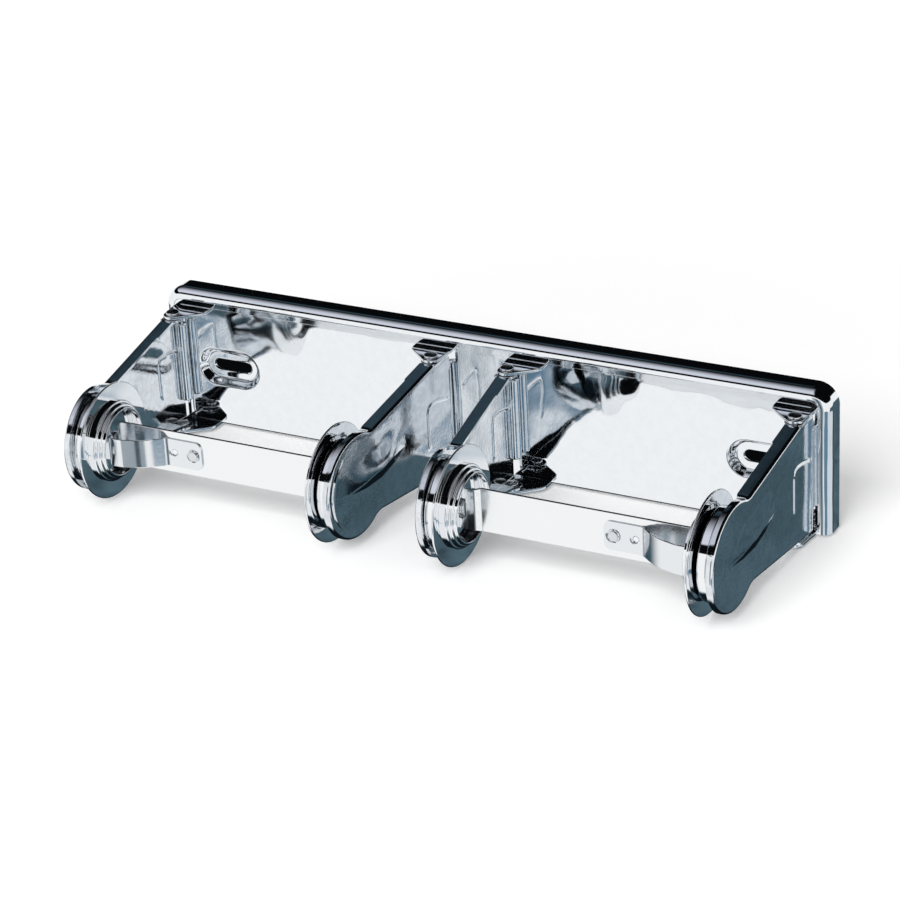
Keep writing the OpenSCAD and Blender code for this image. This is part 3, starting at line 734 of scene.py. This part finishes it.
# The middle of an arm's sheet: its web, the bend round it and the folded edge
def armSkin():
    edge, normals = armEdge()
    depth = foldDepth(edge)
    b = arms["bend"]

    def inset(i):
        p = edge - normals * i
        p[0, 0] = p[-1, 0] = arms["beadOut"]
        return p

    ring = inset(b)
    back = np.stack([np.full(23, arms["beadOut"]), np.linspace(ring[-1, 1], ring[0, 1], 25)[1:-1]], 1)
    outline = np.concatenate([ring, back])
    extra = np.concatenate([
        beside(linePath, (-1.1, -0.8, -0.55, -0.3, 0, 0.3, 0.55, 0.8, 1.1), 0.8),
        beside(creasePath, (-0.5, 0, 0.5, 1.0, 1.6, 2.3, 3.1, 3.9, 4.7, 5.6), 0.9)])
    verts, faces = fillOutline(outline, [], extra, 1.5)
    web = (np.column_stack([pressed(verts), verts]), faces)
    rows = []
    for a in np.radians(np.linspace(0, 90, 7)):
        p = inset(b * (1 - math.sin(a)))
        u = np.full(len(p), b * (1 - math.cos(a)))
        if a == 0:
            u = pressed(p)   # the first row meets the web
        rows.append(np.column_stack([u, p]))
    for share in (0.5, 1.0):
        rows.append(np.column_stack([b + (depth - b) * share, inset(0)]))
    return joined([web, strips(rows)])


# Leans an arm in towards the roll, about the hub
def leaned(points, outer):
    toe = math.radians(arms["outerToe"] if outer else arms["innerToe"])
    u, d, h = points.T
    c, s = math.cos(toe), math.sin(toe)
    return np.stack([u * c - (reach - d) * s, reach - (u * s + (reach - d) * c), h], 1)


panV, panF = sheet(*evenNormals(*armSkin(), (-1, 0, 0)), arms["thick"])


# The rolled bead along an arm's back edge
def beadParts():
    r = arms["beadR"]
    low, high = earLow + arms["beadRelief"], earTop - arms["beadRelief"] + arms["beadRise"]
    profile = rounded([(axisR, low), (r, low), (r, high), (axisR, high)], [0, 0.8, 0.8, 0], 6)
    v, f = turned(profile, 40)
    return np.column_stack([v[:, 0] + r - 0.2, v[:, 1] + arms["beadOut"], v[:, 2]]), f


# The two ears that the hinge rivets go through
def earParts(outer):
    u = rootShift(outer) + plate["hingeIn"]
    web = rootShift(outer) - arms["thick"] / 2 + 0.3
    r = plate["pinR"] + arms["earWall"]
    d = plate["hingeOut"]
    outline = np.concatenate([[(web, d - r)], arc((u, d), r, -90, 90, 20), [(web, d + r)]])
    hole = arc((u, d), plate["pinR"] + 0.05, 0, 360, 24)[:-1]
    return [slab(outline, low, low + arms["thick"], asDrawn, 0.2, [hole]) for low in (earTop, earLow)]


beadV, beadF = beadParts()
for side, outer in allArms:
    parts = [(leaned(panV, outer), panF), (leaned(beadV, outer), beadF)] + earParts(outer)
    addPiece(nodeName(side, outer, "arm") + "Pressing", onSide(parts, side, outer), armChrome,
             armBody(side, outer), nodeName(side, outer, "arm"))
print("arms done")

hubs = {
    "discR": 25.2, "discT": 1.0,
    "cupR": 17.6, "rimR": 15.0, "cupLen": 5.2, "cupT": 1.0,
    "cupSteps": (0.36, 0.7),   # as shares of the cup's length
    "collarR": 19.4, "collarOut": 9.5, "wall": 1.2, "skirt": 0.6,
    "grooveBack": 4.7, "grooveHalf": 0.35, "grooveDeep": 0.5,
    "washerT": 0.8, "washerR": 9.0,
    "headT": 1.2, "headExtra": 1.5, "play": 0.1, "bore": 0.05,
}
discAt = hubs["collarOut"] + hubs["washerT"]
cupAt = discAt + hubs["discT"]
rimAt = cupAt + hubs["cupLen"]
axleR = dispenser["axleR"]
boreR = axleR + hubs["bore"]


# Two bands with a fine groove between them
def collarProfile():
    r, a, w = hubs["collarR"], hubs["collarOut"], hubs["wall"]
    groove, half = a - hubs["grooveBack"], hubs["grooveHalf"]
    return rounded(
        [(axleR, a - w), (axleR, a), (r - 1.6, a), (r, a - 0.9), (r, groove + half),
         (r - hubs["grooveDeep"], groove), (r, groove - half), (r, hubs["skirt"]),
         (r - w, hubs["skirt"]), (r - w, a - w)],
        [0, 0.1, 0.5, 0.8, 0.3, 0.12, 0.3, 0, 0, 0.4], 6)


# A flat ring between two heights, its outer edge rounded
def flatRing(r, low, high, edge, n):
    return rounded([(boreR, low), (r, low), (r, high), (boreR, high)], [0, edge, edge, 0], n)


# The cup steps in twice on its way to the rim
def cupProfile():
    z1, z2 = (cupAt + hubs["cupLen"] * share for share in hubs["cupSteps"])
    r1, r3 = hubs["cupR"], hubs["rimR"]
    r2 = (r1 + r3) / 2
    t = hubs["cupT"]
    return rounded(
        [(boreR, cupAt), (r1, cupAt), (r1, z1), (r2, z1 + 0.12), (r2, z2), (r3, z2 + 0.12), (r3, rimAt),
         (r3 - t, rimAt), (r3 - t, z2 - 0.3), (r2 - t, z1 + 0.1), (r2 - t, cupAt + t), (boreR, cupAt + t)],
        [0, 0, 1.1, 0.6, 1.1, 0.6, 0.48, 0.48, 0.5, 0.5, 0.4, 0], 8)


# The axle has a head inside the collar and one on the cup's floor
def axleProfile():
    inner = hubs["collarOut"] - hubs["wall"] - hubs["headT"]
    far = cupAt + hubs["cupT"] + hubs["play"]
    head, t = axleR + hubs["headExtra"], hubs["headT"]
    return rounded(
        [(axisR, inner), (head, inner), (head, inner + t), (axleR, inner + t), (axleR, far),
         (head, far), (head, far + t), (axisR, far + t)],
        [0, 0.8, 0.1, 0, 0, 0.1, 0.8, 0], 5)


# A profile turned about the hub axis: (x, y, along) -> (in, off the wall, height)
def onHubAxis(profile, steps):
    v, f = turned(profile, steps)
    return np.column_stack([v[:, 2], v[:, 1] + reach, v[:, 0] + hubUp]), f


collarRing = onHubAxis(collarProfile(), 128)
discRing = onHubAxis(flatRing(hubs["discR"], discAt, cupAt, 0.49, 6), 128)
cupRing = onHubAxis(cupProfile(), 128)
washerRing = onHubAxis(flatRing(hubs["washerR"], hubs["collarOut"], discAt, 0.15, 3), 48)
axleRing = onHubAxis(axleProfile(), 40)

for side, outer in allArms:
    for piece, ring, material, body in (
            ("collar", collarRing, hubChrome, armBody(side, outer)),
            ("axle", axleRing, rivetSteel, armBody(side, outer)),
            ("washer", washerRing, spring, armBody(side, outer)),
            ("disc", discRing, hubChrome, hubBody(side, outer)),
            ("cup", cupRing, hubChrome, hubBody(side, outer))):
        addPiece(nodeName(side, outer, piece) + "Ring", onSide([ring], side, outer), material, body,
                 nodeName(side, outer, piece), recalc=True)
print("hubs done")

rivets = {"headR": 3.0, "tailR": 2.6, "headT": 1.2, "play": 0.1}


# low and high are the ends of the shank, between its two heads
def rivetProfile(low, high, bottomR, topR):
    pin, t = plate["pinR"], rivets["headT"]
    return rounded(
        [(axisR, low - t), (bottomR, low - t), (bottomR, low), (pin, low),
         (pin, high), (topR, high), (topR, high + t), (axisR, high + t)],
        [0, 0.9, 0.1, 0, 0, 0.1, 0.9, 0], 5)


lugTop, earUnder = plate["topLug"] + plate["lugThick"], earTop - rivets["play"]
upper = turned(rivetProfile(earUnder, lugTop, rivets["tailR"], rivets["headR"]), 32)
earOver = earLow + arms["thick"] + rivets["play"]
lower = turned(rivetProfile(plate["lowLug"], earOver, rivets["headR"], rivets["tailR"]), 32)
for side, outer in allArms:
    u = rootShift(outer) + plate["hingeIn"]
    parts = [(v + [u, plate["hingeOut"], 0], f) for v, f in (upper, lower)]
    addPiece(nodeName(side, outer, "hingeRivetPair"), onSide(parts, side, outer), rivetSteel, "wall_frame",
             nodeName(side, outer, "hinge_rivets"), recalc=True)
print("hinge rivets done")

# Bars and leaf springs are drawn for the right bay, from the inner hub to the outer hub
bars = {
    "height": 19.0, "thick": 1.3, "edge": 0.18,
    "grip": 2.2,                                  # how far the bar reaches into the outer cup
    "stepOut": 1.2, "joggle": 1.3,                # the joggle's start beyond the inner cup, and its size
    "tabStep": 0.45, "notchGap": 0.5,
    "leafH": 12.5, "leafT": 0.7, "leafCorner": 3.0,
    "leafFlat": 16.7, "leafRise": 9.2, "leafRun": 22.7, "hookR": 2.6,
    "leafKnee": (8.0, 0.7),                       # along from the bend, and its share of the rise
    "leafCrest": 3.6, "crestIn": 1.0,             # length of the crest, and its end short of the outer cup
    "leafBends": (4, 22, 9),                      # radii of the bends
    "rivetIn": 4.2, "leafRivetR": 2.2, "leafHeadT": 0.6, "leafPinR": 1.2, "leafTailR": 2.0, "leafTailT": 0.7,
    "dimple": 9.4, "dimpleR": 1.15, "dimpleDeep": 1.7,
    "ringR": 2.55, "ringW": 0.32, "ringDeep": 0.45,
}
barT = bars["thick"]
innerX, outerX = dispenser["innerGap"] / 2, dispenser["outerSpan"] / 2
floorX = innerX + cupAt + hubs["cupT"]
barEnd = outerX - rimAt + bars["grip"]
stepX = innerX + rimAt + bars["stepOut"]
barX = stepX + 2 * bars["joggle"]
bendX = outerX - rimAt - bars["leafRun"]
leafX = bendX - bars["leafFlat"]
leafRivetX = leafX + bars["rivetIn"]
crestX = outerX - rimAt - bars["crestIn"]


# Unit directions across a path, to the left of the way it runs
def pathNormals(path):
    tangent = np.gradient(path, axis=0)
    tangent /= np.linalg.norm(tangent, axis=1)[:, None]
    return np.stack([-tangent[:, 1], tangent[:, 0]], 1)


# A strip bent along a path in plan. halves gives its half height at each point.
def bentStrip(path, halves, thick):
    rows = []
    for p, n, h in zip(path, pathNormals(path) * thick / 2, halves):
        a, b = p + n, p - n
        rows.append([(a[0], a[1], -h), (a[0], a[1], h), (b[0], b[1], h), (b[0], b[1], -h)])
    v, f = strips(rows, True)
    f += [(0, 1, 2, 3), tuple(len(v) - 4 + i for i in (3, 2, 1, 0))]
    mesh = rawMesh(v, f, 1e-4)
    facesOut(mesh)
    obj = newObject("strip", mesh)
    softenEdges(obj, bars["edge"], 3, 50)
    return meshArrays(plainMesh(obj))


# The path with its corners rounded by arcs of the given radii
def smoothPath(corners, radii, n=8):
    pts = [np.array(c, float) for c in corners]
    out = [pts[0]]
    for k in range(1, len(pts) - 1):
        p, r = pts[k], radii[k - 1]
        a, b = unit(pts[k - 1] - p), unit(pts[k + 1] - p)
        half = math.acos(float(a @ b)) / 2
        centre = p + unit(a + b) * r / math.sin(half)
        first = degrees(p + a * r / math.tan(half) - centre)
        turn = (degrees(p + b * r / math.tan(half) - centre) - first + 180) % 360 - 180
        out += list(arc(centre, r, first, first + turn, n))
    out.append(pts[-1])
    return np.array(out)


# Bar with a tab that stands on the floor of the inner cup. The tab's end is notched round the
# axle's head, so two prongs reach the floor.
def barParts():
    y, tabY = -reach, -reach - bars["joggle"]
    full, tab = bars["height"] / 2, bars["height"] / 2 - bars["tabStep"]
    notch = axleR + hubs["headExtra"] + bars["notchGap"]
    notchX = floorX + hubs["play"] + hubs["headT"] + bars["notchGap"]
    path = smoothPath([(notchX - 0.2, tabY), (stepX, tabY), (barX, y), (barX + 20, y)], [barT] * 2)
    path = np.concatenate([path, [(barEnd - 2.0, y), (barEnd - 1.0, y), (barEnd, y)]])
    halves = [tab if p[0] < barX - 0.9 else full for p in path]
    halves[-2], halves[-1] = full - 1.0, full - 2.0
    parts = [bentStrip(path, halves, barT)]
    for sign in (-1, 1):
        low, high = sorted((sign * notch, sign * tab))
        outline = rounded([(floorX, low), (notchX, low), (notchX, high), (floorX, high)], [0.5, 0, 0, 0.9])
        parts.append(slab(outline, tabY - barT / 2, tabY + barT / 2, asStood, 0.15))
    v, f = joined(parts)
    return v + [0, 0, hubUp], f


# Leaf spring: flat on the bar, a steep bend, a long slope, the crest and the hooked tip
def leafParts():
    t, rise, c, half = bars["leafT"], bars["leafRise"], bars["leafCorner"], bars["leafH"] / 2
    front = -reach - barT / 2 - t
    hook = arc((crestX, rise - bars["hookR"]), bars["hookR"] + t / 2, 90, -25, 16)
    knee = (bendX + bars["leafKnee"][0], rise * bars["leafKnee"][1])
    bend = smoothPath([(leafX, 0), (bendX, 0), knee, (crestX - bars["leafCrest"], rise), (crestX, rise)],
                      bars["leafBends"], 16)[1:-1]
    ends = leafX + c * (1 - np.cos(np.linspace(0.02, math.pi / 2, 9)))
    onBar = [(x, 0.0) for x in np.concatenate([ends, np.linspace(leafX + c, bendX - 2.2, 40)[1:]])]
    path = np.concatenate([onBar, bend, hook + [0, -t / 2]]) * [1, -1] + [0, front]
    shares = np.linspace(-1, 1, 35)
    rows = []
    for p, n in zip(path, -pathNormals(path)):
        inEnd = min(max(0.0, 1 - (p[0] - leafX) / c), 1.0)
        z = shares * (half - c + c * math.sqrt(1 - inEnd ** 2))
        far = np.hypot(p[0] - leafRivetX - bars["dimple"], z) / bars["dimpleR"]
        dent = -bars["dimpleDeep"] * np.exp(-far ** 2)
        round_ = (np.hypot(p[0] - leafRivetX, z) - bars["ringR"]) / bars["ringW"]
        dent -= bars["ringDeep"] * np.exp(-round_ ** 2)
        if p[0] > bendX:
            dent = dent * 0   # only the flat part is pressed
        rows.append(np.column_stack([p[0] + n[0] * dent, p[1] + n[1] * dent, z]))
    v, f = sheet(*evenNormals(*strips(rows), (0, -1, 0)), t, 0.1)
    return v + [0, 0, hubUp], f


# The rivet through bar and leaf spring, its tail behind the bar
def leafRivetParts():
    pin, head, tail = bars["leafPinR"], bars["leafRivetR"], bars["leafTailR"]
    low, high = reach - barT / 2, reach + barT / 2 + bars["leafT"]
    back, front = low - bars["leafTailT"], high + bars["leafHeadT"]
    profile = rounded(
        [(axisR, back), (tail, back), (tail, low), (pin, low),
         (pin, high), (head, high), (head, front), (axisR, front)],
        [0, 0.5, 0, 0, 0, 0.1, 0.3, 0], 5)
    v, f = turned(profile, 32)
    return np.column_stack([v[:, 0] + leafRivetX, -v[:, 2], v[:, 1] + hubUp]), f


for side in (-1, 1):
    for piece, part, material in (("spindle_bar", barParts(), strip), ("leaf_spring", leafParts(), spring),
                                  ("leaf_rivet", leafRivetParts(), rivetSteel)):
        v, f = part
        if side < 0:
            v, f = v * [-1, 1, 1], flipped(f)
        node = sideName[side] + "_" + piece
        addPiece(node + "Strip", [(v, f)], material, sideName[side] + "_spindle", node, recalc=True)
print("spindle bars done")

studio = {
    "floor": "#FCFCFC", "floorHalf": 6.0, "floorDrop": 1.6,   # half side in metres, and mm below the plate
    "lift": 0.15, "liftFrom": 0.15, "liftTo": 0.9,            # floor's own white, rising over these metres
    "slotShade": (-19.0, 13.0, -12.0, 6.0),                   # left, right, low and high edge in mm
    "skyLight": 0.42, "keyPower": 58.0, "fillPower": 1.5,
}


# A four-cornered card that belongs to the studio
def studioCard(name, corners, material):
    mesh = bpy.data.meshes.new(name)
    mesh.from_pydata(corners, [], [(0, 1, 2, 3)])
    mesh.materials.append(material)
    obj = newObject(name, mesh)
    return obj


# A soft-edged card that only the metal sees, as in a studio where it stands out of the picture.
# x and y run from low to high at height z, all in metres. soft holds the widths of its edges in x,
# at the low y and at the high y, and paint says how uneven its colour is. An upright card has its
# heights for ys and its y for z.
def flag(name, xs, ys, z, colour, soft, paint=0.0, upright=False):
    (a, b), (c, d), up = xs, ys, "Z" if upright else "Y"
    mat, tree = newMaterial(name)
    place = addNode(tree, "ShaderNodeTexCoord").outputs["Object"]
    split = addNode(tree, "ShaderNodeSeparateXYZ", links={0: place})
    shown = None
    for axis, start, end in (("X", a, a + soft[0]), ("X", b, b - soft[0]),
                             (up, c, c + soft[1]), (up, d, d - soft[2])):
        edge = addNode(tree, "ShaderNodeMapRange", {"interpolation_type": "SMOOTHSTEP"}, {
            "Value": split.outputs[axis], "From Min": start, "From Max": end, "To Min": 0.0, "To Max": 1.0})
        shown = edge if shown is None else addNode(tree, "ShaderNodeMath", {"operation": "MULTIPLY"}, {
            0: shown, 1: edge})
    brushed = addNode(tree, "ShaderNodeTexNoise", links={
        "Vector": place, "Scale": spaced(29.4), "Detail": 6.0, "Roughness": 0.7})
    power = addNode(tree, "ShaderNodeMapRange", links={
        "Value": brushed, "From Min": 0.35, "From Max": 0.65,
        "To Min": 1.0 - paint, "To Max": 1.0 + paint})
    card = addNode(tree, "ShaderNodeEmission", links={"Color": linear(colour), "Strength": power})
    clear = addNode(tree, "ShaderNodeBsdfTransparent")
    finishMaterial(tree, addNode(tree, "ShaderNodeMixShader", links={0: shown, 1: clear, 2: card}))
    corners = [(a, c), (b, c), (b, d), (a, d)]
    obj = studioCard(name, [(x, z, y) if upright else (x, y, z) for x, y in corners], mat)
    obj.visible_camera = obj.visible_diffuse = obj.visible_shadow = obj.visible_transmission = False


# White paper just below the dispenser. A little of its white is its own near the soft shadow, and
# all of it further out.
paper, paperTree = newMaterial("whitePaperSweep")
paperPath = addNode(paperTree, "ShaderNodeLightPath")
paperSeen = addNode(paperTree, "ShaderNodeMath", {"operation": "MAXIMUM"}, {
    0: paperPath.outputs["Is Camera Ray"], 1: paperPath.outputs["Is Transmission Ray"]})
paperPlace = addNode(paperTree, "ShaderNodeTexCoord").outputs["Object"]
paperFar = addNode(paperTree, "ShaderNodeVectorMath", {"operation": "LENGTH"}, {0: paperPlace}).outputs["Value"]
paperRise = addNode(paperTree, "ShaderNodeMapRange", {"interpolation_type": "SMOOTHSTEP"}, {
    "Value": paperFar, "From Min": studio["liftFrom"], "From Max": studio["liftTo"],
    "To Min": studio["lift"], "To Max": 1.0})
paperLift = addNode(paperTree, "ShaderNodeMath", {"operation": "MULTIPLY"}, {0: paperSeen, 1: paperRise})
paperLit = addNode(paperTree, "ShaderNodeBsdfDiffuse", links={"Color": linear(studio["floor"])})
paperOwn = addNode(paperTree, "ShaderNodeEmission", links={
    "Color": linear(studio["floor"]), "Strength": paperLift})
finishMaterial(paperTree, addNode(paperTree, "ShaderNodeAddShader", links={0: paperLit, 1: paperOwn}))
half, z = studio["floorHalf"], (-dispenser["slotUp"] - studio["floorDrop"]) * mm
floor = studioCard("floor", [(-half, -half, z), (half, -half, z), (half, half, z), (-half, half, z)], paper)
# the metal looks past the paper to the white surroundings and the flags
floor.visible_glossy = False

# Behind each screw slot a black patch is painted shade, in place of the dark inside a wall's hole. From the
# back the patch is clear.
dark, paintedShadeTree = newMaterial("paintedShadeBehindSlots")
paintedShadeFace = addNode(paintedShadeTree, "ShaderNodeEmission", links={"Color": linear("#08090A"), "Strength": 1.0})
clear = addNode(paintedShadeTree, "ShaderNodeBsdfTransparent")
behind = addNode(paintedShadeTree, "ShaderNodeNewGeometry").outputs["Backfacing"]
finishMaterial(paintedShadeTree, addNode(paintedShadeTree, "ShaderNodeMixShader", links={0: behind, 1: paintedShadeFace, 2: clear}))
left, right, low, high = (edge * mm for edge in studio["slotShade"])
# a patch of painted shade just behind each slot
for side in (-1, 1):
    x, y = side * plate["slotSpacing"] / 2 * mm, 1.0 * mm
    patch = studioCard(sideName[side] + "SlotPaintedShade", [
        (x + left, y, low), (x + right, y, low), (x + right, y, high), (x + left, y, high)], dark)
    patch.visible_shadow = patch.visible_diffuse = patch.visible_glossy = False

# What the metal shows: a dark ceiling with a soft lavender light, slate and blue round the table,
# and grey from the side that the camera stands on
flag("blackCeilingFlag", (-5, 5), (-3.6, 6), 1.5, "#07090B", (0.3, 0.3, 0.3))
flag("dimCeilingFlag", (-1.7, -0.3), (0.7, 2.1), 1.499, "#33434D", (0.5, 0.4, 0.4), 0.3)
flag("lavenderSoftbox", (-1.9, 0.15), (-1.4, 0.6), 1.2, "#D6D9E4", (0.2, 0.2, 1.3))
flag("slateBackFlag", (-0.3, 5), (-0.3, 5), -0.601, "#4A5F69", (0.12, 0.12, 0.12), 0.6)
flag("blueLeftFlag", (-1.8, -0.7), (-0.65, 1.1), -0.6, "#37525F", (0.15, 0.8, 0.3))
flag("blueRightFlag", (0.6, 1.5), (-1.4, -0.55), -0.597, "#64859B", (0.2, 0.2, 0.12))
flag("paleRightFlag", (0.82, 1.6), (-0.9, 0.74), -0.599, "#D9E0E6", (0.1, 0.1, 0.1))
flag("darkLineFlag", (0.72, 1.6), (0.66, 0.9), -0.598, "#10181D", (0.05, 0.05, 0.05))
# painted shadow: a dark card under the dispenser shows the metal the table's shade there
flag("paintedShadowCentreFlag", (-0.75, 0.45), (-0.25, 0.96), -0.596, "#10181D", (0.1, 0.1, 0.1))
flag("greyFrontFlag", (-0.75, 1.3), (-2.0, 1.0), -3.0, "#9AA4AB", (0.4, 0.3, 0.4), 0.1, True)
flag("slateFrontFlag", (-0.2, 0.55), (-1.9, 0.9), -2.99, "#45545D", (0.25, 0.3, 0.3), 0.2, True)

# White all round for the camera and the metal, and dimmer as a light
world = bpy.data.worlds.new("studioWorld")
scene.world = world
world.use_nodes = True
sky = world.node_tree
sky.nodes.clear()
skyPath = addNode(sky, "ShaderNodeLightPath").outputs
skySeen = addNode(sky, "ShaderNodeMath", {"operation": "MAXIMUM"}, {
    0: skyPath["Is Camera Ray"], 1: skyPath["Is Glossy Ray"]})
skyShown = addNode(sky, "ShaderNodeMath", {"operation": "MAXIMUM"}, {
    0: skySeen, 1: skyPath["Is Transmission Ray"]})
dimSky, whiteSky = (addNode(sky, "ShaderNodeBackground", links={
    "Color": linear("#FFFFFF"), "Strength": strength}) for strength in (studio["skyLight"], 1.0))
bothSkies = addNode(sky, "ShaderNodeMixShader", links={0: skyShown, 1: dimSky, 2: whiteSky})
addNode(sky, "ShaderNodeOutputWorld", links={"Surface": bothSkies})


# A square lamp that the metal doesn't show
def softbox(name, at, towards, size, power):
    light = bpy.data.lights.new(name, "AREA")
    light.shape, light.size, light.energy = "SQUARE", size, power
    obj = newObject(name, light)
    obj.location = at
    obj.rotation_euler = (Vector(towards) - Vector(at)).to_track_quat("-Z", "Y").to_euler()
    obj.visible_glossy = False


softbox("keySoftbox", (0.05, -2.05, 1.7), (0, -0.05, 0), 1.5, studio["keyPower"])
softbox("fillSoftbox", (1.0, -0.9, 0.9), (0, -0.05, 0), 0.7, studio["fillPower"])

# The photograph's own viewpoint, worked out from the edges of the plate, arms and hubs: where it
# stands in mm, its right and its backward direction, and the lens for a 36 mm frame
view = {
    "at": (561.943, -1061.428, 553.690), "right": (0.885975, 0.461109, -0.049264),
    "back": (0.435303, -0.790328, 0.431153), "lens": 123.712,
}
camera = bpy.data.cameras.new("photoCamera")
camera.lens, camera.sensor_width, camera.sensor_fit = view["lens"], 36.0, "HORIZONTAL"
camera.clip_start, camera.clip_end = 0.05, 50
cameraObj = newObject("photoCamera", camera)
back = Vector(view["back"]).normalized()
right = (Vector(view["right"]) - back * Vector(view["right"]).dot(back)).normalized()
up = back.cross(right)
turn = Matrix((right, up, back)).transposed().to_4x4()
cameraObj.matrix_world = Matrix.Translation(Vector(view["at"]) * mm) @ turn
scene.camera = cameraObj
print("studio done")
